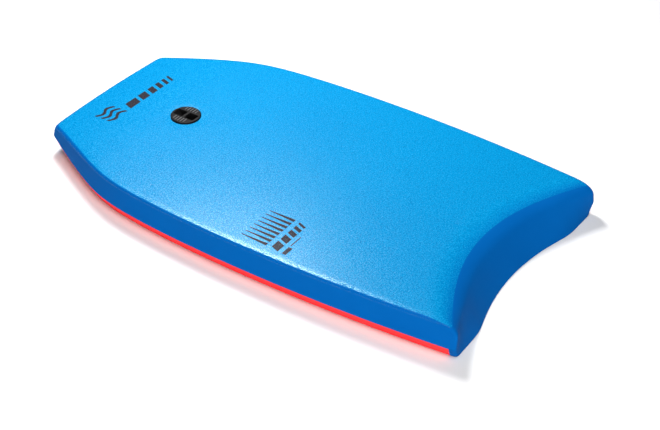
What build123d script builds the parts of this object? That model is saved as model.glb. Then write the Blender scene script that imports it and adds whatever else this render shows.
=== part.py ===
from build123d import *

# A short foam bodyboard: a laminated foam body with a hard slick underside, leaning rails, a crescent tail
# and a two-piece leash plug screwed together through it.
#
# Millimetres. +Y runs from the tail to the nose, +X to the rider's right, +Z out of the deck.
# The origin is at the middle of the underside. "Along" means the distance from the tail's peg tips.
import math
import os

# ---- board --------------------------------------------------------------------------------------
LENGTH = 684.5             # flat ends of the pegs to the nose
TAIL_CORNER_REACH = 1.5    # the rounded tail corners go this much further back, which makes 686 mm or 27 in
WIDTH = 395.5              # on the rails' widest line, of which the shoulder blend takes 1 mm
THICKNESS = 47.5           # of the flat part
WIDEST_AT = 328.0
TAIL_WIDTH = 352.5
NOSE_WIDTH = 230.0
NOSE_TAPER = 0.51          # sideways per millimetre along, on the straight sides next to the nose
SHOULDER_BLEND = 11.0      # size of the round shoulder where the sides turn in to the nose
NOSE_BULGE = 4.2           # middle of the nose edge, ahead of its ends
NOSE_CORNER = 7.0
TAIL_CORNER = 7.0

RAIL_HEIGHT = 17.0         # widest line of the rail, above the underside
DECK_INSET = 7.0           # deck edge, inside the widest line
BASE_INSET = 8.5           # underside edge, inside the widest line

CRESCENT_DEPTH = 20.5      # at the underside
CRESCENT_HALF = 112.5
PEG_BLEND = 2.0            # size of the bend from the crescent into the flat end of a peg
DECK_CRESCENT = 60.0       # at the deck, because the tail face leans forward
DECK_CRESCENT_HALF = 168.0

BEND_FROM = 548.0          # the deck and the underside are flat from the tail to here
BASE_RISE = 10.0           # of the underside at the nose
DECK_RISE = -7.0           # of the deck at the nose, so the board gets thinner there

# ---- laminate -----------------------------------------------------------------------------------
DECK_SKIN = 4.0
BASE_FOAM = 3.0
SLICK = 1.0
FILM = 0.5
STRIP = 9.0                # rail, nose and tail strips
SEAM_BELOW_EDGE = 0.6      # joint of the upper rail and the chine, under the rail's widest line
DECK_EDGE_RADIUS = 3.0

# ---- leash plug ---------------------------------------------------------------------------------
PLUG_FROM_NOSE = 148.5
FLANGE_RADIUS = 21.0
FLANGE_THICK = 2.4
FLANGE_PROUD = 2.0         # of the deck
FLANGE_EDGE = 0.9
BOWL_RADIUS = 18.0
BOWL_DEPTH = 15.0          # under the top of the flange
POCKET_WIDE = 14.0         # across the board
POCKET_HALF = 17.5         # half the length of both pockets together
POCKET_DEPTH = 12.0
BAR_WIDE = 4.6             # the bar between the pockets, which the leash cord goes round
BAR_DEEP = 5.0
BAR_EDGE = 0.8
RIB_COUNT = 5              # grip ribs on each side of the pockets
RIB_PITCH = 4.4
RIB_WIDE = 1.6
RIB_HIGH = 0.5
RIB_FROM = 9.0             # from the middle of the plug
RIB_TO = 18.8
STEM_RADIUS = 10.0         # thread's outside
STEM_WALL = 2.6
STEM_END = 11.0            # above the underside
THREAD_LENGTH = 12.0       # of engagement with the plug tightened
THREAD_CLEAR = 0.1
NUT_WALL = 3.0
NUT_FLANGE_RADIUS = 20.0
NUT_FLANGE_THICK = 2.0
NUT_SUNK = 0.2             # flange face inside the slick
NUT_EDGE = 0.6
WASHER_THICK = 1.0
WASHER_WIDE = 2.6
HOLE_CLEAR = 0.5           # all round, between the plug and the foam
RELIEF = 0.02              # keeps faces that slide on each other apart

LOW_RING = -20.0           # heights of the flat rings that the leaning edges are drawn between
TOP_RING = 70.0
FAR = 260.0                # beyond the board on every side
PAST = 30.0                # how far a cutter's curves run on past the board's ends
SIDE_KNOTS = 11            # points that each spline of the outline runs through
NOSE_KNOTS = 5
TAIL_KNOTS = 17
CUT_KNOTS = 21             # of the curves that cut the strips off, which run from side to side
MIDDLE = (LENGTH - TAIL_CORNER_REACH) / 2
PLUG_Y = LENGTH - PLUG_FROM_NOSE - MIDDLE


# ---- shape of the board -------------------------------------------------------------------------
def soft_max(a, b, blend):
    return (a + b) / 2 + math.hypot((a - b) / 2, blend)


def soft_min(a, b, blend):
    return (a + b) / 2 - math.hypot((a - b) / 2, blend)


def half_width(along):
    """Half the width on the rail's widest line: a long arc that turns into a straight taper at the nose."""
    arc = WIDTH / 2 - (WIDTH - TAIL_WIDTH) / 2 * ((WIDEST_AT - along) / WIDEST_AT) ** 2
    taper = NOSE_WIDTH / 2 + NOSE_TAPER * (LENGTH - along)
    return soft_min(arc, taper, SHOULDER_BLEND)


def bend(along, rise):
    """Height that a lengthwise surface has gained, when it gains rise by the nose."""
    return rise * (max(0.0, along - BEND_FROM) / (LENGTH - BEND_FROM)) ** 2


def tail_at(x, height):
    """Where the tail face is, along the board: a shallow crescent below, leaning into a deep one at the deck."""
    low = soft_max(CRESCENT_DEPTH * (1 - (x / CRESCENT_HALF) ** 2), 0.0, PEG_BLEND)
    high = DECK_CRESCENT * (1 - (x / DECK_CRESCENT_HALF) ** 2)
    return low + (high - low) * height / THICKNESS


def nose_at(x, inset):
    return LENGTH - inset - NOSE_BULGE * (2 * x / NOSE_WIDTH) ** 2


def lean(height):
    """How far the rail's leaning faces lie inside its widest line."""
    if height < RAIL_HEIGHT:
        return BASE_INSET * (RAIL_HEIGHT - height) / RAIL_HEIGHT
    return DECK_INSET * (height - RAIL_HEIGHT) / (THICKNESS - RAIL_HEIGHT)


def rise_at(height):
    """The widest line follows the underside up at the nose. The flat rings above and below it don't."""
    return BASE_RISE if height == RAIL_HEIGHT else 0.0


def spread(start, end, count):
    return [start + (end - start) * i / (count - 1) for i in range(count)]


def at(x, along, z):
    return Vector(x, along - MIDDLE, z)


def side_points(inset, start, end, height):
    rise = rise_at(height)
    return [at(half_width(a) - inset, a, height + bend(a, rise)) for a in spread(start, end, SIDE_KNOTS)]


def even_spline(points):
    """A curve that takes as long between each two points, so that lofted rings pair up the same places across."""
    return Edge.make_spline(points, parameters=spread(0, 1, len(points)))


def mirrored(points):
    return [Vector(-p.X, p.Y, p.Z) for p in reversed(points)]


def outline(height):
    """The board's plan outline at a height, with rounded nose and tail corners."""
    inset = lean(height)
    rise = rise_at(height)
    nose_x = half_width(LENGTH) - inset
    nose_end = nose_at(nose_x, inset)
    tail_x = half_width(0) - inset
    tail_end = tail_at(tail_x, height)
    side = side_points(inset, tail_end + TAIL_CORNER, nose_end - NOSE_CORNER, height)
    nose = [(x, nose_at(x, inset)) for x in spread(nose_x - NOSE_CORNER, NOSE_CORNER - nose_x, NOSE_KNOTS)]
    right = Spline(side)
    front = Spline([at(x, along, height + bend(along, rise)) for x, along in nose])
    left = Spline(mirrored(side))
    tail = spread(TAIL_CORNER - tail_x, tail_x - TAIL_CORNER, TAIL_KNOTS)
    back = Spline([at(x, tail_at(x, height), height) for x in tail])

    def corner(first, second):
        return Spline([first @ 1, second @ 0], tangents=[first % 1, second % 0])

    return Wire([right, corner(right, front), front, corner(front, left),
                 left, corner(left, back), back, corner(back, right)])


def envelope():
    """The board's plan shape and leaning edges, taller than the board."""
    return Solid.make_loft([outline(LOW_RING), outline(RAIL_HEIGHT), outline(TOP_RING)], ruled=True)


# ---- cutters ------------------------------------------------------------------------------------
def below(height, rise):
    """Everything under a lengthwise surface that is flat at a height and then bends by a rise at the nose."""
    start = at(0, -FAR, height)
    turn = at(0, BEND_FROM, height)
    middle = at(0, (BEND_FROM + LENGTH + PAST) / 2, height)
    end = at(0, LENGTH + PAST, height + bend(LENGTH + PAST, rise))
    floor = [Vector(0, end.Y, -FAR), Vector(0, start.Y, -FAR)]
    profile = Wire([Line(start, turn), Bezier(turn, middle, end), *Polyline(end, *floor, start).edges()])
    return extrude(Face(profile), FAR, dir=(1, 0, 0), both=True)


def side_cutter():
    """Everything between the two rail strips."""
    rings = []
    for height in (LOW_RING, RAIL_HEIGHT, TOP_RING):
        side = side_points(lean(height) + STRIP, -PAST, LENGTH + PAST, height)
        right = Spline(side)
        left = Spline(mirrored(side))
        rings.append(Wire([right, Line(right @ 1, left @ 0), left, Line(left @ 1, right @ 0)]))
    return Solid.make_loft(rings, ruled=True)


def across(points, end):
    """A ring between a curve across the board and a straight line beyond the board's end."""
    curve = even_spline(points)
    z = points[0].Z
    way_round = Polyline(curve @ 1, Vector((curve @ 1).X, end, z), Vector((curve @ 0).X, end, z), curve @ 0)
    return Wire([curve, *way_round.edges()])


def tail_cutter():
    """Everything behind the front of the tail strip."""
    rings = []
    for height in (LOW_RING, TOP_RING):
        xs = spread(-WIDTH / 2, WIDTH / 2, CUT_KNOTS)
        rings.append(across([at(x, tail_at(x, height) + STRIP, height) for x in xs], -LENGTH / 2 - FAR))
    return Solid.make_loft(rings, ruled=True)


def nose_cutter():
    """Everything ahead of the back of the nose strip."""
    rings = []
    for height in (LOW_RING, RAIL_HEIGHT, TOP_RING):
        z = height + rise_at(height)
        xs = spread(-WIDTH / 2, WIDTH / 2, NOSE_KNOTS)
        rings.append(across([at(x, nose_at(x, lean(height) + STRIP), z) for x in xs], LENGTH / 2 + FAR))
    return Solid.make_loft(rings, ruled=True)


def disc(radius, low, high):
    return Pos(0, PLUG_Y, (low + high) / 2) * Cylinder(radius, high - low)


# ---- foam body ----------------------------------------------------------------------------------
def make_body():
    """The laminate, as a dict of node name to shape: each sheet and strip, with the holes for the plug."""
    board = envelope()
    middle = side_cutter()
    tail = tail_cutter()
    nose = nose_cutter()

    deck_top = below(THICKNESS, DECK_RISE)
    deck_under = below(THICKNESS - DECK_SKIN, DECK_RISE)
    core_top = below(THICKNESS - DECK_SKIN - FILM, DECK_RISE)
    rail_seam = below(RAIL_HEIGHT - SEAM_BELOW_EDGE, BASE_RISE)
    core_base = below(SLICK + BASE_FOAM + FILM, BASE_RISE)
    foam_top = below(SLICK + BASE_FOAM, BASE_RISE)
    slick_top = below(SLICK, BASE_RISE)
    underside = below(0, BASE_RISE)

    deck_skin = (board & deck_top) - deck_under
    body = (board & deck_under) - underside
    tail_strip = body & tail
    nose_strip = body & nose
    between = body - tail - nose
    slick = between & slick_top
    base_foam = (between & foam_top) - slick_top
    upper = between - foam_top
    inner = upper & middle
    rails = upper - middle
    chines = (rails & rail_seam).solids().sort_by(Axis.X)
    upper_rails = (rails - rail_seam).solids().sort_by(Axis.X)
    return {
        "deck_skin": deck_skin,
        "deck_film": inner - core_top,
        "foam_core": (inner & core_top) - core_base,
        "base_film": inner & core_base,
        "base_foam": base_foam,
        "slick_bottom": slick,
        "tail_strip": tail_strip,
        "nose_strip": nose_strip,
        "left_upper_rail": upper_rails[0],
        "right_upper_rail": upper_rails[-1],
        "left_chine": chines[0],
        "right_chine": chines[-1],
    }


def round_deck_edge(skin):
    """The deck skin with the outer edge of its top face rounded over."""
    top = skin.faces().filter_by(lambda face: face.normal_at().Z > 0.9).sort_by(Axis.Z)[-1:]
    edges = [edge for face in top for edge in face.outer_wire().edges()]
    return fillet(edges, DECK_EDGE_RADIUS)


def plug_hole(nut_flange_top, bowl_floor, recess_floor):
    """What the plug's parts take out of the foam: two flange recesses and a stepped hole."""
    deck_top = recess_floor + FAR
    return (disc(NUT_FLANGE_RADIUS + HOLE_CLEAR, -FAR, nut_flange_top)
            + disc(STEM_RADIUS + THREAD_CLEAR + NUT_WALL + HOLE_CLEAR, -FAR, bowl_floor)
            + disc(BOWL_RADIUS + HOLE_CLEAR, bowl_floor, recess_floor + RELIEF)
            + disc(FLANGE_RADIUS + HOLE_CLEAR, recess_floor, deck_top))


# ---- leash plug ---------------------------------------------------------------------------------
def make_cup(top):
    """The plug's upper half: flange, bowl with two pockets and a bar between them, and threaded stem."""
    flange = disc(FLANGE_RADIUS, top - FLANGE_THICK, top)
    flange = fillet(flange.edges().group_by(Axis.Z)[-1], FLANGE_EDGE)
    bowl = disc(BOWL_RADIUS, top - BOWL_DEPTH, top - FLANGE_THICK)
    stem = disc(STEM_RADIUS, STEM_END, top - BOWL_DEPTH)
    bore = disc(STEM_RADIUS - STEM_WALL, STEM_END, top - BOWL_DEPTH)
    scoop_radius = (POCKET_HALF ** 2 + POCKET_DEPTH ** 2) / (2 * POCKET_DEPTH)
    scoop = Cylinder(scoop_radius, POCKET_WIDE, rotation=(0, 90, 0))
    pockets = Pos(0, PLUG_Y, top + scoop_radius - POCKET_DEPTH) * scoop
    bar = Box(POCKET_WIDE, BAR_WIDE, BAR_DEEP)
    bar = Pos(0, PLUG_Y, top - BAR_DEEP / 2) * fillet(bar.edges().filter_by(Axis.X), BAR_EDGE)
    return flange + bowl + stem - bore - pockets + bar + grip_ribs(top)


def grip_ribs(top):
    """Short ribs across both lands of the flange, to turn the cup by."""
    reach = (RIB_COUNT - 1) * RIB_PITCH / 2
    rib = Box(RIB_TO - RIB_FROM, RIB_WIDE, 2 * RIB_HIGH)
    x = (RIB_FROM + RIB_TO) / 2
    places = [Pos(side * x, PLUG_Y + y, top) for side in (-1, 1) for y in spread(-reach, reach, RIB_COUNT)]
    ribs = Part() + [place * rib for place in places]
    return ribs & disc(RIB_TO, top - RIB_HIGH, top + RIB_HIGH)


def make_nut():
    """The plug's lower half: a closed flange on the underside and a barrel for the cup's stem to screw into."""
    floor = NUT_SUNK + NUT_FLANGE_THICK
    flange = disc(NUT_FLANGE_RADIUS, NUT_SUNK, floor)
    flange = fillet(flange.edges().group_by(Axis.Z)[0], NUT_EDGE)
    barrel_top = STEM_END + THREAD_LENGTH
    bore_radius = STEM_RADIUS + THREAD_CLEAR
    return flange + disc(bore_radius + NUT_WALL, floor, barrel_top) - disc(bore_radius, floor, barrel_top)


def make_washer(radius, low):
    return disc(radius, low, low + WASHER_THICK) - disc(radius - WASHER_WIDE, low, low + WASHER_THICK)


def main():
    deck_at_plug = THICKNESS + bend(LENGTH - PLUG_FROM_NOSE, DECK_RISE)
    cup_top = deck_at_plug + FLANGE_PROUD
    washer_base = cup_top - FLANGE_THICK - WASHER_THICK - RELIEF
    nut_washer_base = NUT_SUNK + NUT_FLANGE_THICK
    recess_floor = washer_base - RELIEF
    bowl_floor = cup_top - BOWL_DEPTH - 2 * HOLE_CLEAR

    nodes = make_body()
    hole = plug_hole(nut_washer_base + WASHER_THICK, bowl_floor, recess_floor)
    nodes["deck_skin"] = round_deck_edge(nodes["deck_skin"])
    for name in ("deck_skin", "deck_film", "foam_core", "base_film", "base_foam", "slick_bottom"):
        nodes[name] = nodes[name] - hole
    nodes["plug_cup"] = make_cup(cup_top)
    nodes["cup_washer"] = make_washer(FLANGE_RADIUS, washer_base)
    nodes["plug_nut"] = make_nut()
    nodes["nut_washer"] = make_washer(NUT_FLANGE_RADIUS, nut_washer_base)

    os.makedirs("parts", exist_ok=True)
    for name, shape in nodes.items():
        export_step(shape, f"parts/{name}.step")


main()
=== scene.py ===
"""Looks of the bodyboard: shaped and embossed foam, hard slick, moulded plug, studio floor and lights.

Metres, in the CAD frame: +Y to the nose, +X to the rider's right, +Z out of the deck, origin mid-underside.
"Along" means the distance from the flat ends of the tail towards the nose.
"""
import math

import bmesh
import bpy
import numpy as np
from mathutils import Matrix, Vector, noise


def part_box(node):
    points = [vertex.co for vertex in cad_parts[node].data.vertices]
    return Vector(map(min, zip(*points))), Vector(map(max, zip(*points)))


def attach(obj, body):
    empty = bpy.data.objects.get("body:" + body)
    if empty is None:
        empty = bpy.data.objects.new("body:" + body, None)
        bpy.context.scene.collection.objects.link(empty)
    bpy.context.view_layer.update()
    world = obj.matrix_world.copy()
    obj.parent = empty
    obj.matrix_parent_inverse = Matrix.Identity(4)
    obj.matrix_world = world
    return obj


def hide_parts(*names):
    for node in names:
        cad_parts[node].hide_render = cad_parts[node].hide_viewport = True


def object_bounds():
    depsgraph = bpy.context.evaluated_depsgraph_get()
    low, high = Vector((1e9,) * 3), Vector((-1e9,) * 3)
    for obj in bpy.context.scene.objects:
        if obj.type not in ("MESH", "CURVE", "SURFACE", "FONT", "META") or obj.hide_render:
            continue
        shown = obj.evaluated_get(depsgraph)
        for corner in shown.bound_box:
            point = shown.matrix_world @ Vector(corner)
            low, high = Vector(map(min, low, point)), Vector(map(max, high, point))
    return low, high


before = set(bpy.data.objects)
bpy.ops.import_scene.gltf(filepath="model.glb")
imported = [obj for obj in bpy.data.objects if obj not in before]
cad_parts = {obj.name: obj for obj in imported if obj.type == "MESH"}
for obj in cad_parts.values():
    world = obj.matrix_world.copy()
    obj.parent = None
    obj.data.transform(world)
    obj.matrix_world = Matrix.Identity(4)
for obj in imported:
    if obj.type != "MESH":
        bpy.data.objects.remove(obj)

cad_low, cad_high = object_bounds()
MM = 0.001

# ---- sizes, from the frame ----------------------------------------------------------------------
DECK_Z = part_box("deck_skin")[1].z
DECK_SKIN = DECK_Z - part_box("tail_strip")[1].z
FOAM_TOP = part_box("left_chine")[0].z          # of the base foam
SLICK_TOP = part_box("base_foam")[0].z
WIDEST = cad_high.x
TAIL_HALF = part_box("tail_strip")[1].x
TAIL_CORNER_REACH = 1.5 * MM                  # the tail's rounded corners lie this far behind its flat ends
LENGTH = cad_high.y - cad_low.y - TAIL_CORNER_REACH
TAIL_Y = cad_high.y - LENGTH
CUP_LOW, CUP_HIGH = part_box("plug_cup")
PLUG = (CUP_LOW + CUP_HIGH) / 2
FLANGE = (CUP_HIGH.x - CUP_LOW.x) / 2

# ---- plan and edges, as in the CAD --------------------------------------------------------------
WIDEST_AT = 328 * MM
ARC_HALF = WIDEST + 0.5 * MM
NOSE_HALF = 115 * MM
NOSE_TAPER = 0.51
SHOULDER_BLEND = 11 * MM
NOSE_BULGE = 4.2 * MM
STRIP = 9 * MM                # width of the rail, nose and tail strips
RAIL_HEIGHT = 17 * MM
LEAN_ABOVE = 7 / 30.5
LEAN_BELOW = 0.5
RING_TOP = 70 * MM            # heights between which the leaning faces are defined
RING_LOW = -20 * MM
CRESCENT_DEPTH = 20.5 * MM
CRESCENT_HALF = 112.5 * MM
PEG_BLEND = 2 * MM
DECK_CRESCENT = 60 * MM
DECK_CRESCENT_HALF = 168 * MM
BEND_FROM = 548 * MM
BASE_RISE = 10 * MM
DECK_RISE = -7 * MM
CHINE_SEAM = 0.6 * MM         # joint of the rail's two strips, under its widest line
BOWL = 18 * MM                # radius of the cup under its flange
BOWL_Z = CUP_HIGH.z - 16 * MM
NUT_BARREL = 13.1 * MM
HOLE_CLEAR = 0.5 * MM

# ---- finish -------------------------------------------------------------------------------------
RAIL_EDGE = 3.4 * MM          # radius of the deck edge along the rails
SHOULDER_EDGE = 6.5 * MM      # where the rails meet the nose
SHOULDER_REACH = 210 * MM     # over which the wider edge fades out along the rails
NOSE_EDGE = 4.5 * MM
TAIL_REACH = 45 * MM          # the deck starts to fall this far from the tail
TAIL_TURN = 23 * MM           # size of the rounding below the deck skin
TAIL_FALL = 16 * MM           # it ends this far under the deck
TAIL_FULLNESS = 0.8
TAIL_TIGHTNESS = 2.5
RAIL_DEEP = 10 * MM           # the rings of the deck edge go down this far at the rails
TAIL_DEEP = TAIL_FALL + MM    # and this far at the tail
TAIL_ROLL = 120 * MM          # which fades out between once and twice this distance along
APEX_EDGE = 2.2 * MM          # size of the rounding on the widest line
BASE_EDGE = 1.8 * MM
SEAM_DIP = 0.22 * MM
SEAM_PULL = 1 - SEAM_DIP / WIDEST
ROLL_DROP = 0.32 * MM         # the deck falls away a little towards the rails, over the last few millimetres
ROLL_REACH = 6.5 * MM
PEBBLE = 4.2 * MM             # size of the embossed pebbles
PEBBLE_DEPTH = 0.05 * MM
PEBBLE_STEEPNESS = 1.6
EMBOSS_FADE = 5               # grid steps from the deck's rim over which the pebbles grow
RIPPLE = 0.22 * MM            # waviness of the heat-sealed foam
RIPPLE_SIZE = 45 * MM
PLUG_DIP = 0.5 * MM           # how far the tightened flange pulls the deck down round itself
PLUG_DIP_REACH = 6 * MM
SHARP_ANGLE = math.radians(40)

# ---- stations round the outline, and steps of the rings -----------------------------------------
END_STEPS = 97                # from the centreline to the corner, on the tail and on the nose
CORNER_STEPS = 16
SIDE_STEPS = 368
SEAM_STEPS = 2                # from the corner to the seam of the rails with the nose and tail strips
CORNER = STRIP - SEAM_STEPS * (LENGTH - 2 * STRIP) / SIDE_STEPS
HALF_STEPS = 2 * END_STEPS + 2 * CORNER_STEPS + SIDE_STEPS
STATIONS = 2 * HALF_STEPS
SIDE_START = END_STEPS + CORNER_STEPS
SIDE_END = SIDE_START + SIDE_STEPS
GRID_ACROSS = 2 * END_STEPS + CORNER_STEPS
GRID_ALONG = SIDE_STEPS + CORNER_STEPS
COARSE_ACROSS = 14            # fine steps in one step of a hidden or smooth sheet
COARSE_ALONG = 16
SKIN_RINGS = 10               # over the edge of the deck skin
STRIP_SHARES = (0, 0.04, 0.12, 0.24, 0.36, 0.48, 0.6, 0.72, 0.86, 1)
UPPER_SHARES = (0.17, 0.12)   # between the widest line and the deck
LOWER_SHARES = (-0.3, -0.5, -0.7)
APEX_RINGS = 7
BASE_RINGS = 7
SLICK_RINGS = 6
HOLE_STEPS = 96


def soft_max(a, b, blend):
    return (a + b) / 2 + np.hypot((a - b) / 2, blend)


def soft_min(a, b, blend):
    return (a + b) / 2 - np.hypot((a - b) / 2, blend)


def smooth(t):
    t = np.clip(t, 0, 1)
    return t * t * (3 - 2 * t)


# ---- form of the board --------------------------------------------------------------------------
def half_width(along):
    arc = ARC_HALF - (ARC_HALF - TAIL_HALF) * ((WIDEST_AT - along) / WIDEST_AT) ** 2
    return soft_min(arc, NOSE_HALF + NOSE_TAPER * (LENGTH - along), SHOULDER_BLEND)


def bend(along, rise):
    return rise * (np.clip(along - BEND_FROM, 0, None) / (LENGTH - BEND_FROM)) ** 2


def base_z(along):
    return bend(along, BASE_RISE)


def apex_z(along):
    return RAIL_HEIGHT + bend(along, BASE_RISE)


def deck_z(along):
    return DECK_Z + bend(along, DECK_RISE)


def skin_base(along):
    return deck_z(along) - DECK_SKIN


def above_base(height):
    return lambda along: base_z(along) + height


def below_apex(drop):
    return lambda along: apex_z(along) - drop


def tail_at(x, z):
    low = soft_max(CRESCENT_DEPTH * (1 - (x / CRESCENT_HALF) ** 2), 0, PEG_BLEND)
    high = DECK_CRESCENT * (1 - (x / DECK_CRESCENT_HALF) ** 2)
    return low + (high - low) * z / DECK_Z


def lean(along, z):
    """How far a leaning face is inside the widest line, at a height."""
    apex = apex_z(along)
    above = LEAN_ABOVE * (RING_TOP - RAIL_HEIGHT) * (z - apex) / (RING_TOP - apex)
    below = LEAN_BELOW * (RAIL_HEIGHT - RING_LOW) * (apex - z) / (apex - RING_LOW)
    return np.where(z > apex, above, below)


def along_of(points):
    return points[..., 1] - TAIL_Y


def outline_points(x, along):
    return np.stack(np.broadcast_arrays(x, along, np.zeros(HALF_STEPS + 1))[:2], 1)


def corner_curve(first, corner, last, t):
    t = t[:, None]
    return (1 - t) ** 2 * first + 2 * t * (1 - t) * corner + t ** 2 * last


def ring(height, side=0.0, tail=None, nose=None, corner=CORNER):
    """The board's outline as STATIONS points, anticlockwise from the middle of the tail.

    height is a function of the distance along; side, tail and nose say how far each edge is moved in.
    An inset is one number, or one number per station of the right half."""
    tail = side if tail is None else tail
    nose = side if nose is None else nose
    step = np.arange(HALF_STEPS + 1)
    run = np.clip((step - SIDE_START) / SIDE_STEPS, 0, 1)
    tail_level, nose_level = height(0.0), height(LENGTH)
    tail_x = half_width(0.0) - lean(0.0, tail_level) - side
    nose_lean = lean(LENGTH, nose_level)
    nose_x = half_width(LENGTH) - nose_lean - side

    def nose_at(x):
        return LENGTH - nose_lean - nose - NOSE_BULGE * (x / NOSE_HALF) ** 2

    tail_end = tail_at(tail_x, tail_level) + tail
    nose_end = nose_at(nose_x)
    along = tail_end + corner + (nose_end - tail_end - 2 * corner) * run
    sides = outline_points(half_width(along) - lean(along, height(along)) - side, along)
    x = np.clip(step / END_STEPS, 0, 1) * (tail_x - corner)
    tail_points = outline_points(x, tail_at(x, tail_level) + tail)
    x = np.clip((HALF_STEPS - step) / END_STEPS, 0, 1) * (nose_x - corner)
    nose_points = outline_points(x, nose_at(x))
    turn = np.clip((step - END_STEPS) / CORNER_STEPS, 0, 1)
    tail_corner = corner_curve(tail_points, outline_points(tail_x, tail_end), sides, turn)
    corner_x = half_width(nose_end) - nose_lean - side
    turn = np.clip((step - SIDE_END) / CORNER_STEPS, 0, 1)
    nose_corner = corner_curve(sides, outline_points(corner_x, nose_end), nose_points, turn)
    plan = np.where((step <= SIDE_START)[:, None], tail_corner, nose_corner)
    right = np.column_stack([plan[:, 0], plan[:, 1] + TAIL_Y, height(plan[:, 1])])
    left = right[-2:0:-1] * (-1, 1, 1)
    return np.concatenate([right, left])


def side_edge(along):
    """Radius of the deck edge along the rails, wider where they meet the nose."""
    return RAIL_EDGE + (SHOULDER_EDGE - RAIL_EDGE) * smooth(1 - (LENGTH - along) / SHOULDER_REACH)


STATION_ALONG = along_of(ring(deck_z)[:HALF_STEPS + 1])
SIDE_EDGE = side_edge(STATION_ALONG)


def rounding(radius, depth):
    """How far a rounded edge is inside the sharp one, at a depth below the face it starts from."""
    return radius * (1 - np.sqrt(np.minimum(depth / radius, 1))) ** 2


def tail_turn(depth):
    return TAIL_TURN * (1 - np.minimum(depth / TAIL_FALL, 1) ** TAIL_FULLNESS) ** TAIL_TIGHTNESS


def tail_rounding(depth):
    """The same for the tail, where the deck skin falls slowly and the strip under it turns down."""
    skin = TAIL_REACH - (TAIL_REACH - tail_turn(DECK_SKIN)) * np.cbrt(depth / DECK_SKIN)
    return np.where(depth < DECK_SKIN, skin, tail_turn(depth))


def edge_ring(depth):
    """A ring of the deck edge or the face under it; its depth is a function of the distance along."""
    at_stations = depth(STATION_ALONG)
    side, nose = rounding(SIDE_EDGE, at_stations), rounding(NOSE_EDGE, at_stations)
    return ring(lambda along: deck_z(along) - depth(along), side, tail_rounding(at_stations), nose)


def skin_depth(share):
    """A depth inside the deck skin, closer together near the top."""
    return lambda along: DECK_SKIN * share ** 2 + 0 * along


def strip_depth(share):
    """A depth under the deck skin, down to where the tail's wide rounding or the rail's edge has ended."""
    def depth(along):
        deepest = RAIL_DEEP + (TAIL_DEEP - RAIL_DEEP) * smooth(2 - along / TAIL_ROLL)
        return DECK_SKIN + (deepest - DECK_SKIN) * share
    return depth


def roll(points):
    """How far the deck has fallen away near the rails."""
    along = along_of(points)
    from_rail = half_width(along) - lean(along, deck_z(along)) - side_edge(along) - np.abs(points[:, 0])
    return -ROLL_DROP * (1 - np.clip(from_rail / ROLL_REACH, 0, 1)) ** 2


def rippled(points, strength=RIPPLE):
    """Points moved in and out a little, as foam skins are never quite flat."""
    outward = points - (0, 0, DECK_Z / 2)
    outward[:, 2] = 0
    outward /= np.linalg.norm(outward, axis=1)[:, None] + 1e-9
    waves = np.array([noise.noise(Vector(p) / RIPPLE_SIZE) for p in points])
    return points + outward * (waves * strength)[:, None]


def emboss(points):
    """Height of the pebbled deck: rounded cells with narrow valleys."""
    heights = np.empty(len(points))
    for i, p in enumerate(points):
        near, next_near = noise.voronoi(Vector((p[0], p[1], 0)) / PEBBLE)[0][:2]
        heights[i] = min(1.0, PEBBLE_STEEPNESS * (next_near - near))
    return (heights - 0.5) * PEBBLE_DEPTH


def plug_pull(points):
    """How far the deck is pulled down round the plug's flange."""
    reach = np.hypot(points[:, 0] - PLUG.x, points[:, 1] - PLUG.y) - FLANGE
    return -PLUG_DIP * np.exp(-(np.clip(reach, 0, None) / PLUG_DIP_REACH) ** 2)


# ---- meshes -------------------------------------------------------------------------------------
class Shape:
    """Collects points and faces, and becomes one closed piece of the board."""

    def __init__(self):
        self.points, self.faces, self.count = [], [], 0

    def add(self, points):
        ids = np.arange(self.count, self.count + len(points))
        self.points.append(np.asarray(points, float))
        self.count += len(points)
        return ids

    def band(self, first, second, closed=True):
        """Quads between two rows of the same length."""
        ends = (np.roll(first, -1), np.roll(second, -1))
        quads = np.stack([first, ends[0], ends[1], second], 1)
        self.faces += (quads if closed else quads[:-1]).tolist()

    def bands(self, rings):
        """Bands through closed rings, one after another. Gives the point numbers of each ring."""
        rows = [self.add(r) for r in rings]
        for first, second in zip(rows, rows[1:]):
            self.band(first, second)
        return rows

    def mesh(self, name):
        mesh = bpy.data.meshes.new(name)
        mesh.from_pydata(np.concatenate(self.points).tolist(), [], self.faces)
        return mesh

    def piece(self, name, node, material):
        mesh = self.mesh(name)
        bm = bmesh.new()
        bm.from_mesh(mesh)
        bmesh.ops.recalc_face_normals(bm, faces=bm.faces)
        bm.to_mesh(mesh)
        bm.free()
        mesh.materials.append(material)
        obj = bpy.data.objects.new(name, mesh)
        bpy.context.scene.collection.objects.link(obj)
        shade(obj)
        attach(obj, "board")
        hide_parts(node)
        return obj


def shade(obj):
    obj.data.shade_smooth()
    obj.data.set_sharp_from_angle(angle=SHARP_ANGLE)


RIGHT_TAIL = END_STEPS + CORNER_STEPS // 2
RIGHT_NOSE = HALF_STEPS - RIGHT_TAIL
EDGES = {
    "tail": np.arange(-RIGHT_TAIL, RIGHT_TAIL + 1) % STATIONS,
    "nose": np.arange(HALF_STEPS + RIGHT_TAIL, RIGHT_NOSE - 1, -1),
    "left": np.arange(STATIONS - RIGHT_TAIL, HALF_STEPS + RIGHT_TAIL - 1, -1),
    "right": np.arange(RIGHT_TAIL, RIGHT_NOSE + 1),
}


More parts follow.
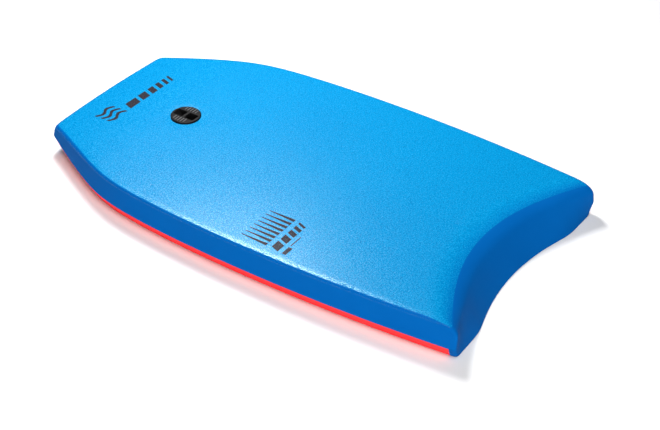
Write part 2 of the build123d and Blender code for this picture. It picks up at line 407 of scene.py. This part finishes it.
def patch(outline):
    """A grid of points that fills an outline, row by row from the tail to the nose."""
    tail, nose, left, right = (outline[EDGES[k]] for k in ("tail", "nose", "left", "right"))
    u = np.linspace(0, 1, GRID_ACROSS + 1)[None, :, None]
    v = np.linspace(0, 1, GRID_ALONG + 1)[:, None, None]
    ruled = (1 - v) * tail[None] + v * nose[None] + (1 - u) * left[:, None] + u * right[:, None]
    low = (1 - u) * tail[0] + u * tail[-1]
    high = (1 - u) * nose[0] + u * nose[-1]
    return ruled - (1 - v) * low - v * high


def rim_ids(shape_of_grid, outline_ids):
    """Point numbers of a patch, with those of the outline on its rim and -1 inside."""
    ids = np.full(shape_of_grid, -1)
    ids[0], ids[-1] = outline_ids[EDGES["tail"]], outline_ids[EDGES["nose"]]
    ids[:, 0], ids[:, -1] = outline_ids[EDGES["left"]], outline_ids[EDGES["right"]]
    return ids


def coarse_sheet(shape, outline_ids, outline, height):
    """Fills an outline with large faces that still use every point of the outline."""
    grid = patch(outline)
    grid[..., 2] = height(along_of(grid))
    ids = rim_ids(grid.shape[:2], outline_ids)
    rows = np.arange(0, GRID_ALONG + 1, COARSE_ALONG)
    columns = np.arange(0, GRID_ACROSS + 1, COARSE_ACROSS)
    inner = np.ix_(rows[1:-1], columns[1:-1])
    ids[inner] = shape.add(grid[inner].reshape(-1, 3)).reshape(len(rows) - 2, len(columns) - 2)
    for r0, r1 in zip(rows, rows[1:]):
        for c0, c1 in zip(columns, columns[1:]):
            walk = [*ids[r0, c0:c1], *ids[r0:r1, c1], *ids[r1, c1:c0:-1], *ids[r1:r0:-1, c0]]
            shape.faces.append([int(i) for i in walk if i >= 0])


# ---- deck skin ----------------------------------------------------------------------------------
def deck_edge_rings():
    """From the top of the deck skin over its rounded edge, and in to the seam under it."""
    rings = []
    for share in np.linspace(0, 1, SKIN_RINGS):
        edge = rippled(edge_ring(skin_depth(share)), RIPPLE / 2)
        edge[:, 2] += roll(edge) * (1 - share ** 2)
        rings.append(edge)
    return rings + [rings[-1] * (SEAM_PULL, SEAM_PULL, 1)]


def rim_steps():
    """How many steps each inner point of the deck grid is from the rim."""
    rows = np.arange(1, GRID_ALONG)
    columns = np.arange(1, GRID_ACROSS)
    from_ends = np.minimum(rows, GRID_ALONG - rows)[:, None]
    from_sides = np.minimum(columns, GRID_ACROSS - columns)[None]
    return np.minimum(from_ends, from_sides).ravel()


def deck_grid(shape, outline_ids, outline):
    """The embossed top of the deck, inside its rounded edge."""
    inside = patch(outline)[1:-1, 1:-1].reshape(-1, 3)
    pebbles = emboss(inside) * smooth(rim_steps() / EMBOSS_FADE)
    inside[:, 2] = deck_z(along_of(inside)) + pebbles + plug_pull(inside) + roll(inside)
    ids = rim_ids((GRID_ALONG + 1, GRID_ACROSS + 1), outline_ids)
    ids[1:-1, 1:-1] = shape.add(inside).reshape(GRID_ALONG - 1, GRID_ACROSS - 1)
    quads = np.stack([ids[:-1, :-1], ids[:-1, 1:], ids[1:, 1:], ids[1:, :-1]], -1)
    shape.faces += quads.reshape(-1, 4).tolist()


def make_deck(material):
    shape = Shape()
    rings = deck_edge_rings()
    rows = shape.bands(rings)
    deck_grid(shape, rows[0], rings[0])
    coarse_sheet(shape, rows[-1], rings[-1], skin_base)
    cut_plug_hole(shape.piece("deck_skin_embossed", "deck_skin", material))


def hole_profile():
    """Radius and height up the stepped hole: the nut's recess and barrel, the cup's bowl and flange."""
    nut_low, nut_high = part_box("plug_nut")
    recess = (nut_high.x - nut_low.x) / 2 + HOLE_CLEAR
    nut_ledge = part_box("nut_washer")[1].z
    cup_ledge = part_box("cup_washer")[0].z
    barrel, bowl, flange = NUT_BARREL + HOLE_CLEAR, BOWL + HOLE_CLEAR, FLANGE + HOLE_CLEAR
    return [(recess, -DECK_Z), (recess, nut_ledge), (barrel, nut_ledge), (barrel, BOWL_Z),
            (bowl, BOWL_Z), (bowl, cup_ledge), (flange, cup_ledge), (flange, 2 * DECK_Z)]


def hole_cutter():
    """The stepped hole as a solid turned round the plug's axis."""
    shape = Shape()
    angles = np.arange(HOLE_STEPS) * 2 * math.pi / HOLE_STEPS
    edge_shade = []
    for radius, z in hole_profile():
        x = PLUG.x + radius * np.cos(angles)
        y = PLUG.y + radius * np.sin(angles)
        edge_shade.append(np.column_stack([x, y, np.full(HOLE_STEPS, z)]))
    rows = shape.bands(edge_shade)
    shape.faces += [rows[0][::-1].tolist(), rows[-1].tolist()]
    return shape.mesh("hole_cutter")


def cut_plug_hole(obj):
    tool = bpy.data.objects.new("hole_cutter", hole_cutter())
    bpy.context.scene.collection.objects.link(tool)
    cut = obj.modifiers.new("hole", "BOOLEAN")
    cut.operation, cut.solver, cut.object = "DIFFERENCE", "EXACT", tool
    bpy.context.view_layer.objects.active = obj
    bpy.ops.object.modifier_apply(modifier=cut.name)
    bpy.data.objects.remove(tool)
    shade(obj)


# ---- strips round the edge ----------------------------------------------------------------------
def face_ring(share):
    """Between the widest line (0) and the deck (1), or the underside (-1)."""
    def height(along):
        other = deck_z(along) if share > 0 else base_z(along)
        return apex_z(along) + (other - apex_z(along)) * abs(share)
    return ring(height)


def apex_rings():
    """The rounded widest line, from above it to below it."""
    high = face_ring(APEX_EDGE / (DECK_Z - RAIL_HEIGHT))
    sharp = face_ring(0)
    low = face_ring(-APEX_EDGE / RAIL_HEIGHT)
    shares = np.linspace(0, 1, APEX_RINGS)
    return [(1 - t) ** 2 * high + 2 * t * (1 - t) * sharp + t ** 2 * low for t in shares]


def seam_corner(inset):
    """The corner that keeps the strips' seams in place when the whole outline is moved in."""
    step = (LENGTH - 2 * inset) / SIDE_STEPS
    return (STRIP - inset - SEAM_STEPS * step) / (1 - 2 * SEAM_STEPS / SIDE_STEPS)


def base_edge_rings():
    """The rounded bottom edge of the nose and tail strips, down to the underside."""
    rings = []
    for share in np.linspace(1, 0, BASE_RINGS):
        height = BASE_EDGE * share ** 2
        inset = rounding(BASE_EDGE, height)
        rings.append(ring(above_base(height), inset, corner=seam_corner(inset)))
    return rings


def sheet_ring(height, inset=0.0):
    """The outline of a sheet of the underside, which ends at the inner faces of the nose and tail strips."""
    return ring(height, inset, STRIP, STRIP, 0.0)


def sheet_side(height):
    """The faces of the nose and tail strips that meet the sheets of the underside, which reach the rails."""
    points = sheet_ring(above_base(height), rounding(BASE_EDGE, height))
    for corner, step in ((SIDE_START, 1), (SIDE_END, -1)):
        near = corner + step * np.arange(SEAM_STEPS + 1)
        points[near], points[-near] = points[corner], points[-corner]
    return points


def strip(rings, stations, name, material):
    """A closed strip whose cross-section runs through the rings, at some of their stations."""
    shape = Shape()
    rows = [shape.add(r[stations]) for r in rings]
    for first, second in zip(rows, rows[1:] + rows[:1]):
        shape.band(first, second, closed=False)
    for end in (0, -1):
        rim = [int(row[end]) for row in rows]
        middle = np.mean([r[stations[end]] for r in rings], axis=0)
        fan = int(shape.add([middle])[0])
        shape.faces += [[a, b, fan] for a, b in zip(rim, rim[1:] + rim[:1])]
    shape.piece(f"{name}_shaped", name, material)


def rippled_face(rings):
    """Outer rings of a rail's strip. The first and last are pulled in a little, which draws the seams."""
    face = [rippled(r) for r in rings]
    for r in (face[0], face[-1]):
        r[:, :2] *= SEAM_PULL
    return face


def make_end_strips(foam, face, inner_top, stations):
    """The strips of the tail and the nose, from the deck skin down to the underside."""
    outside = [rippled(r) for r in face] + [ring(above_base(2 * BASE_EDGE))] + base_edge_rings()
    outside[0][:, :2] *= SEAM_PULL
    inside = [sheet_side(0), sheet_side(FOAM_TOP), ring(above_base(FOAM_TOP), STRIP), inner_top]
    for name, where in stations.items():
        strip(outside + inside, where, name, foam)


def make_rails(foam, chine_foam, above, below, inner_top, stations):
    """The two strips of each rail, which meet just under its widest line."""
    seam = ring(below_apex(CHINE_SEAM))
    lip = ring(below_apex(CHINE_SEAM + 2 * SEAM_DIP))
    inner_seam = ring(below_apex(CHINE_SEAM), STRIP)
    upper_rail = rippled_face(above + [seam]) + [inner_seam, inner_top]
    chine = rippled_face([seam, lip] + below + [ring(above_base(FOAM_TOP))])
    chine += [ring(above_base(FOAM_TOP), STRIP), inner_seam]
    for side, where in stations.items():
        strip(upper_rail, where, f"{side}_upper_rail", foam)
        strip(chine, where, f"{side}_chine", chine_foam)


def make_strips(foam, chine_foam):
    upper = [edge_ring(strip_depth(share)) for share in STRIP_SHARES]
    upper += [face_ring(share) for share in UPPER_SHARES]
    apex = apex_rings()
    lower = [face_ring(share) for share in LOWER_SHARES]
    inner_top = ring(skin_base, STRIP)
    middle = APEX_RINGS // 2
    first, last = SIDE_START + SEAM_STEPS, SIDE_END - SEAM_STEPS
    ends = {"tail_strip": np.arange(-first, first + 1) % STATIONS,
            "nose_strip": np.arange(last, STATIONS - last + 1)}
    make_end_strips(foam, upper + apex + lower, inner_top, ends)
    sides = {"right": np.arange(first, last + 1),
             "left": np.arange(STATIONS - last, STATIONS - first + 1)}
    make_rails(foam, chine_foam, upper + apex[:middle + 1], apex[middle + 2:] + lower, inner_top, sides)


# ---- sheets of the underside --------------------------------------------------------------------
def make_sheet(outlines, top, base, name, node, material):
    shape = Shape()
    rows = shape.bands(outlines)
    coarse_sheet(shape, rows[0], outlines[0], top)
    coarse_sheet(shape, rows[-1], outlines[-1], base)
    cut_plug_hole(shape.piece(name, node, material))


def make_base_foam(foam):
    top, base = above_base(FOAM_TOP), above_base(SLICK_TOP)
    outlines = [sheet_ring(h) for h in (top, above_base((FOAM_TOP + SLICK_TOP) / 2), base)]
    make_sheet(outlines, top, base, "base_foam_sheet", "base_foam", foam)


def make_slick(material):
    heights = [SLICK_TOP * share ** 2 for share in np.linspace(1, 0, SLICK_RINGS)]
    outlines = [sheet_ring(above_base(h), rounding(BASE_EDGE, h)) for h in heights]
    top = above_base(SLICK_TOP)
    make_sheet(outlines, top, base_z, "slick_sheet", "slick_bottom", material)


# ---- shader tools -------------------------------------------------------------------------------
class Field:
    """A number that varies over a surface, with plain arithmetic that builds the shader's math nodes."""

    def __init__(self, tree, socket):
        self.tree, self.socket = tree, socket

    def op(self, operation, *others, clamp=False):
        node = self.tree.nodes.new("ShaderNodeMath")
        node.operation, node.use_clamp = operation, clamp
        for i, value in enumerate((self, *others)):
            feed(self.tree, node.inputs[i], value)
        return Field(self.tree, node.outputs[0])

    def __add__(self, other):
        return self.op("ADD", other)

    def __sub__(self, other):
        return self.op("SUBTRACT", other)

    def __mul__(self, other):
        return self.op("MULTIPLY", other)

    def __truediv__(self, other):
        return self.op("DIVIDE", other)

    def abs(self):
        return self.op("ABSOLUTE")

    def max(self, other):
        return self.op("MAXIMUM", other)

    def clamp(self):
        return self.op("ADD", 0.0, clamp=True)


def feed(tree, entry, value):
    """Links a field or a node's output to an input, or gives the input a plain value."""
    if isinstance(value, Field):
        value = value.socket
    if isinstance(value, bpy.types.NodeSocket):
        tree.links.new(value, entry)
    else:
        entry.default_value = value


class Paint:
    """A material under construction, with its texture coordinates in metres of the CAD frame."""

    def __init__(self, name):
        self.material = bpy.data.materials.new(name)
        self.material.use_nodes = True
        self.tree = self.material.node_tree
        coordinates = self.tree.nodes.new("ShaderNodeTexCoord").outputs
        self.place, self.facing = coordinates["Object"], coordinates["Normal"]

    def node(self, kind, inputs, **settings):
        made = self.tree.nodes.new(kind)
        for key, value in settings.items():
            setattr(made, key, value)
        for key, value in inputs.items():
            feed(self.tree, made.inputs[key], value)
        return made

    def noise(self, size, detail, roughness):
        inputs = {"Vector": self.place, "Scale": 1 / size, "Detail": detail, "Roughness": roughness}
        return Field(self.tree, self.node("ShaderNodeTexNoise", inputs).outputs["Fac"])

    def cells(self, size, smoothness):
        inputs = {"Vector": self.place, "Scale": 1 / size, "Smoothness": smoothness}
        made = self.node("ShaderNodeTexVoronoi", inputs, feature="SMOOTH_F1")
        return Field(self.tree, made.outputs["Distance"])

    def axis(self, name, of=None):
        """X, Y or Z of the place on the surface, or of another vector."""
        made = self.node("ShaderNodeSeparateXYZ", {"Vector": of or self.place})
        return Field(self.tree, made.outputs[name])

    def blend(self, factor, first, second):
        """A colour between two colours."""
        made = self.tree.nodes.new("ShaderNodeMix")
        made.data_type = "RGBA"
        for index, value in ((0, factor), (6, first), (7, second)):
            feed(self.tree, made.inputs[index], (*value, 1.0) if isinstance(value, tuple) else value)
        return made.outputs[2]

    def ramp(self, value, low, high):
        """0 where value is at low, 1 at high."""
        inputs = {"Value": value, "From Min": low, "From Max": high}
        return Field(self.tree, self.node("ShaderNodeMapRange", inputs, clamp=True).outputs["Result"])

    def bump(self, height, depth, under=None):
        inputs = {"Height": height, "Distance": depth, "Strength": 1.0}
        if under is not None:
            inputs["Normal"] = under
        return self.node("ShaderNodeBump", inputs).outputs["Normal"]

    def finish(self, colour, roughness, normal=None, more=None):
        """The material, with its surface set; more holds further inputs of the surface, by name."""
        surface = self.tree.nodes["Principled BSDF"].inputs
        feed(self.tree, surface["Base Color"], colour)
        feed(self.tree, surface["Roughness"], roughness)
        if normal is not None:
            feed(self.tree, surface["Normal"], normal)
        for key, value in (more or {}).items():
            feed(self.tree, surface[key], value)
        return self.material


# ---- printed marks, in millimetres of the CAD frame ---------------------------------------------
INK_EDGE = 0.25               # softness of an edge
WAVES_AT = (-51.5, 286)
WAVES_SIZE = 34
WAVE_TURNS = 1.25             # in each line; the other sizes of a wave are shares of WAVES_SIZE
WAVE_SWING = 0.09
WAVE_STEP = 0.33
WAVE_HALF = 0.075
BAR_SLANT = 0.35
NOSE_BARS = (21, 15, 11, 8, 6, 4)
NOSE_BARS_BOX = (-27, 271, 286)        # left, low and high
NOSE_BARS_GAP = 5.5
SIDE_BARS = (14, 11, 8, 6, 4)
SIDE_BARS_BOX = (-173, -90, -78)
SIDE_BARS_GAP = 4
TAPER_BOX = (-173, -107, -71, -32)     # left, right, low and high
TAPER_COUNT = 8
TAPER_WIDE = 0.64             # share of the pitch that is inked at the low end
TAPER_LOSS = 0.5              # and how much less at the high end
BLOCK_BOX = (-173, -158, -102, -96)
RULE_BOX = (-155, -134, -97.5, -96)


def box_mask(x, y, left, right, low, high):
    """1 inside a rectangle, with a narrow soft edge."""
    across = (x - (left + right) / 2).abs() - (right - left) / 2
    along = (y - (low + high) / 2).abs() - (high - low) / 2
    return (across.max(along) * (-1 / INK_EDGE) + 0.5).clamp()


def wave_mask(x, y):
    """Three wavy lines, one above another, in a square."""
    middle, level = WAVES_AT
    swing = ((x - middle) * (2 * math.pi * WAVE_TURNS / WAVES_SIZE)).op("SINE") * (WAVE_SWING * WAVES_SIZE)
    lines = None
    for step in (-1, 0, 1):
        off_line = (y - level - step * WAVE_STEP * WAVES_SIZE - swing).abs()
        line = ((off_line - WAVE_HALF * WAVES_SIZE) * (-1 / INK_EDGE) + 0.5).clamp()
        lines = line if lines is None else lines.max(line)
    half = WAVES_SIZE / 2
    return lines * box_mask(x, y, middle - half, middle + half, level - WAVES_SIZE, level + WAVES_SIZE)


def slant_mask(x, y, box, widths, gap):
    """A row of slanted bars."""
    start, low, high = box
    lean_x = x - (y - low) * BAR_SLANT
    mask = None
    for width in widths:
        bar = box_mask(lean_x, y, start, start + width, low, high)
        mask = bar if mask is None else mask.max(bar)
        start += width + gap
    return mask


def taper_mask(x, y):
    """Parallel lines along the board that get thinner towards the nose."""
    left, right, low, high = TAPER_BOX
    pitch = (right - left) / TAPER_COUNT
    column = ((x - left) / pitch).op("FRACT")
    width = (y - low) * (-TAPER_LOSS / (high - low)) + TAPER_WIDE
    line = ((column - 0.5).abs() * 2 - width) * (-pitch / (2 * INK_EDGE)) + 0.5
    return line.clamp() * box_mask(x, y, *TAPER_BOX)


def printed_marks(paint):
    """Plain printed marks: waves and slanted bars at the nose, tapering lines and bars by the left rail."""
    x, y = paint.axis("X") / MM, paint.axis("Y") / MM
    marks = wave_mask(x, y)
    marks = marks.max(slant_mask(x, y, NOSE_BARS_BOX, NOSE_BARS, NOSE_BARS_GAP))
    marks = marks.max(taper_mask(x, y))
    marks = marks.max(slant_mask(x, y, SIDE_BARS_BOX, SIDE_BARS, SIDE_BARS_GAP))
    return marks.max(box_mask(x, y, *BLOCK_BOX)).max(box_mask(x, y, *RULE_BOX))


# ---- materials ----------------------------------------------------------------------------------
DECK_BLUES = (0.0006, 0.203, 0.465), (0.0007, 0.223, 0.495)
# painted shade: the darker blue laid into the valleys between the pebbles
PEBBLE_VALLEY_SHADE_BLUE = (0.0004, 0.09, 0.27)
SPECK_BLUE = (0.001, 0.31, 0.63)
INKS = (0.02, 0.014, 0.015), (0.05, 0.036, 0.036)
RAIL_BLUES = (0.0004, 0.092, 0.345), (0.0005, 0.099, 0.365)
RAIL_REDS = (0.92, 0.04, 0.045), (0.96, 0.05, 0.055)
SLICK_REDS = (0.93, 0.035, 0.045), (0.97, 0.05, 0.055)
# the beads' own pale grey, and a darker grey painted as shade in the crevices between them
BEAD_AND_CREVICE_SHADE_GREYS = (0.86, 0.87, 0.86), (0.70, 0.72, 0.72)
FILM_GREYS = (0.75, 0.77, 0.8), (0.85, 0.87, 0.9)
FLOOR_GREYS = (0.82, 0.82, 0.825), (0.84, 0.84, 0.84)
# painted highlight on the tops of the plug's ribs
RIB_TOP_HIGHLIGHT_GREY = (0.045, 0.047, 0.052)
SHEEN_TINT = (0.62, 0.9, 0.95, 1.0)
FOAM_TINT = (0.3, 0.7, 1.0, 1.0)
EDGE_SHADE_FROM = 0.998             # upward part of the normal where the deck starts to take the rails' darker blue, as painted shade on its turned-down edges
EDGE_SHADE_TO = 0.935           # and where it has
RIB_TOPS = 0.25 * MM          # the plug's rib tops are painted lighter, a painted highlight, and shine more within this of its highest point


def deck_blue(paint, pebbles, specks):
    cloud = paint.noise(160 * MM, 3.0, 0.55)
    blue = paint.blend(paint.ramp(cloud, 0.3, 0.7), *DECK_BLUES)
    # the valleys between the pebbles are painted darker, as painted shade
    blue = paint.blend(paint.ramp(pebbles, 0.35, 0.75) * 0.4, blue, PEBBLE_VALLEY_SHADE_BLUE)
    blue = paint.blend(specks * 0.65, blue, SPECK_BLUE)
    # where the surface turns down over the edges, the deck goes over to the rails' darker blue: painted
    # shade on the rolled edges and at the tail, which also hides the change of colour at the seam with the
    # rails
    edge_shade = paint.ramp(paint.axis("Z", paint.facing), EDGE_SHADE_FROM, EDGE_SHADE_TO)
    return paint.blend(edge_shade, blue, RAIL_BLUES[1])


def deck_material():
    """Pebbled foam whose specks shine, with painted shade in the valleys between its pebbles and at its
    turned-down edges, where it takes the rails' blue, and with printed marks.
    """
    paint = Paint("pebbled_deck_foam")
    pebbles = paint.cells(1.9 * MM, 0.5)
    grain = paint.noise(0.9 * MM, 3.0, 0.6)
    specks = paint.ramp(paint.noise(1.7 * MM, 1.0, 0.5), 0.44, 0.6)
    blue = deck_blue(paint, pebbles, specks)
    marks = printed_marks(paint)
    ink = paint.blend(paint.ramp(grain, 0.35, 0.75), *INKS)
    colour = paint.blend(marks * 0.97, blue, ink)
    roughness = paint.ramp(grain, 0.2, 0.8) * 0.06 + 0.24
    normal = paint.bump(pebbles * -1, 0.08 * MM)
    normal = paint.bump(grain, 0.04 * MM, normal)
    shine = (specks * 0.5 + 0.01) * (marks * -0.8 + 1)
    more = {"Specular IOR Level": shine, "Specular Tint": SHEEN_TINT}
    return paint.finish(colour, roughness, normal, more)


def smooth_foam(name, dark, light):
    """Heat-sealed foam with a fine skin and shallow dents."""
    paint = Paint(name)
    cloud = paint.noise(60 * MM, 3.0, 0.55)
    skin = paint.noise(0.9 * MM, 2.0, 0.6)
    dents = paint.noise(9 * MM, 2.0, 0.5)
    highlight = tuple(min(1, c * 1.6 + 0.02) for c in light)
    colour = paint.blend(paint.ramp(cloud, 0.3, 0.7), dark, light)
    colour = paint.blend(paint.ramp(skin, 0.6, 0.85) * 0.12, colour, highlight)
    roughness = paint.ramp(cloud, 0.25, 0.75) * 0.12 + 0.6
    normal = paint.bump(dents, 0.25 * MM)
    normal = paint.bump(skin, 0.05 * MM, normal)
    more = {"Specular IOR Level": 0.03, "Specular Tint": FOAM_TINT}
    return paint.finish(colour, roughness, normal, more)


def slick_material():
    paint = Paint("slick_sheet")
    cloud = paint.noise(120 * MM, 2.0, 0.5)
    scuffs = paint.noise(1.4 * MM, 4.0, 0.7)
    colour = paint.blend(paint.ramp(cloud, 0.3, 0.7), *SLICK_REDS)
    roughness = paint.ramp(scuffs, 0.4, 0.8) * 0.15 + 0.2
    normal = paint.bump(paint.noise(14 * MM, 2.0, 0.4), 0.12 * MM)
    return paint.finish(colour, roughness, normal, {"Coat Weight": 0.3, "Coat Roughness": 0.15})


def bead_foam():
    paint = Paint("core_foam")
    beads = paint.cells(3.2 * MM, 0.3)
    # darker towards the crevices between the beads, where the bump is lowest: painted shade
    colour = paint.blend(paint.ramp(beads, 0.3, 0.7), *BEAD_AND_CREVICE_SHADE_GREYS)
    return paint.finish(colour, 0.75, paint.bump(beads * -1, 0.4 * MM))


def moulded_plastic(name, tone, grain_depth, shine, ribs_from=None):
    """Grained plastic or rubber. Above the height ribs_from, the rib tops are painted lighter, a painted
    highlight, and shine more.
    """
    paint = Paint(name)
    grain = paint.noise(0.5 * MM, 3.0, 0.6)
    cloud = paint.noise(12 * MM, 2.0, 0.5)
    dark, light = (tone, tone, tone * 1.1), (tone * 1.7, tone * 1.6, tone * 1.7)
    colour = paint.blend(paint.ramp(cloud, 0.3, 0.7), dark, light)
    roughness = paint.ramp(grain, 0.3, 0.7) * 0.12 + 0.32
    if ribs_from:
        # the rib tops shine more and are painted lighter, as a painted highlight
        ribs = paint.ramp(paint.axis("Z"), ribs_from, ribs_from + 0.1 * MM)
        colour = paint.blend(ribs, colour, RIB_TOP_HIGHLIGHT_GREY)
        shine = ribs * 0.3 + shine
    return paint.finish(colour, roughness, paint.bump(grain, grain_depth), {"Specular IOR Level": shine})


def film():
    paint = Paint("bonding_film")
    cloud = paint.noise(20 * MM, 2.0, 0.5)
    return paint.finish(paint.blend(cloud, *FILM_GREYS), 0.25, paint.bump(cloud, 0.05 * MM))


def paint_nodes():
    """Finishes for the CAD nodes that stay in view: the plug's parts, and the layers inside the hole."""
    black = moulded_plastic("moulded_plug_plastic", 0.006, 0.03 * MM, 0.09, CUP_HIGH.z - RIB_TOPS)
    rubber = moulded_plastic("washer_rubber", 0.01, 0.08 * MM, 0.15)
    finishes = {"plug_cup": black, "plug_nut": black, "cup_washer": rubber, "nut_washer": rubber,
                "foam_core": bead_foam(), "deck_film": film(), "base_film": film()}
    for name, material in finishes.items():
        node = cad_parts[name]
        if not node.material_slots:
            node.data.materials.append(material)
        for slot in node.material_slots:
            slot.link = "OBJECT"
            slot.material = material


# ---- studio -------------------------------------------------------------------------------------
CAMERA_AZIMUTH = -55.08
CAMERA_ELEVATION = 36.56
CAMERA_ROLL = -0.23
CAMERA_DISTANCE = 1.909
CAMERA_TARGET = Vector((-0.0235, -0.0633, 0))
CAMERA_LENS = 79.8
SENSOR = 36.0
SHEEN_CENTRE = Vector((-0.16, 0, DECK_Z))
NEAR_TAIL = Vector((-0.1, -0.2, 0))
SIDE_GLOW = 0.1
TOP_GLOW = 0.25
GLOW_FROM = 0.62              # upward part of the direction where the sky starts to brighten
GLOW_TO = 0.95
FLOOR_HALF = 5.0
FLOOR_GAP = 0.2 * MM


def direction(azimuth, elevation):
    """The direction from the board towards an azimuth and elevation; azimuth 0 is behind the tail."""
    a, e = math.radians(azimuth), math.radians(elevation)
    return Vector((math.sin(a) * math.cos(e), -math.cos(a) * math.cos(e), math.sin(e)))


def make_camera():
    camera = bpy.data.objects.new("camera", bpy.data.cameras.new("camera"))
    bpy.context.scene.collection.objects.link(camera)
    camera.data.lens = CAMERA_LENS
    camera.data.sensor_width = SENSOR
    back = direction(CAMERA_AZIMUTH, CAMERA_ELEVATION)
    level = Vector((0, 0, 1)).cross(back).normalized()
    upright = back.cross(level)
    cos, sin = math.cos(math.radians(CAMERA_ROLL)), math.sin(math.radians(CAMERA_ROLL))
    right = cos * level + sin * upright
    up = cos * upright - sin * level
    turn = Matrix((right, up, back)).transposed().to_4x4()
    camera.matrix_world = Matrix.Translation(CAMERA_TARGET + back * CAMERA_DISTANCE) @ turn
    bpy.context.scene.camera = camera


def make_light(name, target, azimuth, elevation, distance, size, power):
    light = bpy.data.objects.new(name, bpy.data.lights.new(name, "AREA"))
    bpy.context.scene.collection.objects.link(light)
    light.data.shape = "RECTANGLE"
    light.data.size = light.data.size_y = size
    light.data.energy = power
    towards = direction(azimuth, elevation)
    light.location = target + towards * distance
    light.rotation_mode = "QUATERNION"
    light.rotation_quaternion = towards.to_track_quat("Z", "Y")


def make_floor():
    mesh = bpy.data.meshes.new("floor")
    side = FLOOR_HALF
    corners = [(-side, -side, 0), (side, -side, 0), (side, side, 0), (-side, side, 0)]
    mesh.from_pydata(corners, [], [(0, 1, 2, 3)])
    floor = bpy.data.objects.new("floor", mesh)
    floor.location.z = cad_low.z - FLOOR_GAP
    bpy.context.scene.collection.objects.link(floor)
    paint = Paint("pale_floor")
    cloud = paint.noise(300 * MM, 2.0, 0.5)
    mesh.materials.append(paint.finish(paint.blend(cloud, *FLOOR_GREYS), 0.6))


def make_world():
    """Soft light that is strong overhead and weak from the side, in front of a white background."""
    world = bpy.data.worlds.new("studio")
    world.use_nodes = True
    tree = world.node_tree
    nodes = tree.nodes
    height = nodes.new("ShaderNodeSeparateXYZ")
    feed(tree, height.inputs[0], nodes.new("ShaderNodeTexCoord").outputs["Generated"])
    glow = nodes.new("ShaderNodeMapRange")
    glow.interpolation_type = "SMOOTHSTEP"
    for key, value in {"Value": height.outputs["Z"], "From Min": GLOW_FROM, "From Max": GLOW_TO,
                       "To Min": SIDE_GLOW, "To Max": TOP_GLOW}.items():
        feed(tree, glow.inputs[key], value)
    seen = nodes.new("ShaderNodeMix")
    feed(tree, seen.inputs["Factor"], nodes.new("ShaderNodeLightPath").outputs["Is Camera Ray"])
    feed(tree, seen.inputs["A"], glow.outputs["Result"])
    feed(tree, seen.inputs["B"], 1.0)
    feed(tree, nodes["Background"].inputs["Strength"], seen.outputs["Result"])
    bpy.context.scene.world = world


def make_studio():
    make_floor()
    make_light("key", SHEEN_CENTRE, azimuth=133, elevation=50, distance=1.35, size=0.35, power=23)
    make_light("fill", NEAR_TAIL, azimuth=-50, elevation=64, distance=2.6, size=1.6, power=53)
    make_light("low", Vector(), azimuth=-58, elevation=12, distance=3.0, size=1.0, power=52)
    make_world()
    bpy.context.scene.view_settings.view_transform = "Standard"


blue_foam = smooth_foam("sealed_blue_foam", *RAIL_BLUES)
red_foam = smooth_foam("sealed_red_foam", *RAIL_REDS)
make_deck(deck_material())
make_strips(blue_foam, red_foam)
make_base_foam(red_foam)
make_slick(slick_material())
paint_nodes()
make_camera()
make_studio()
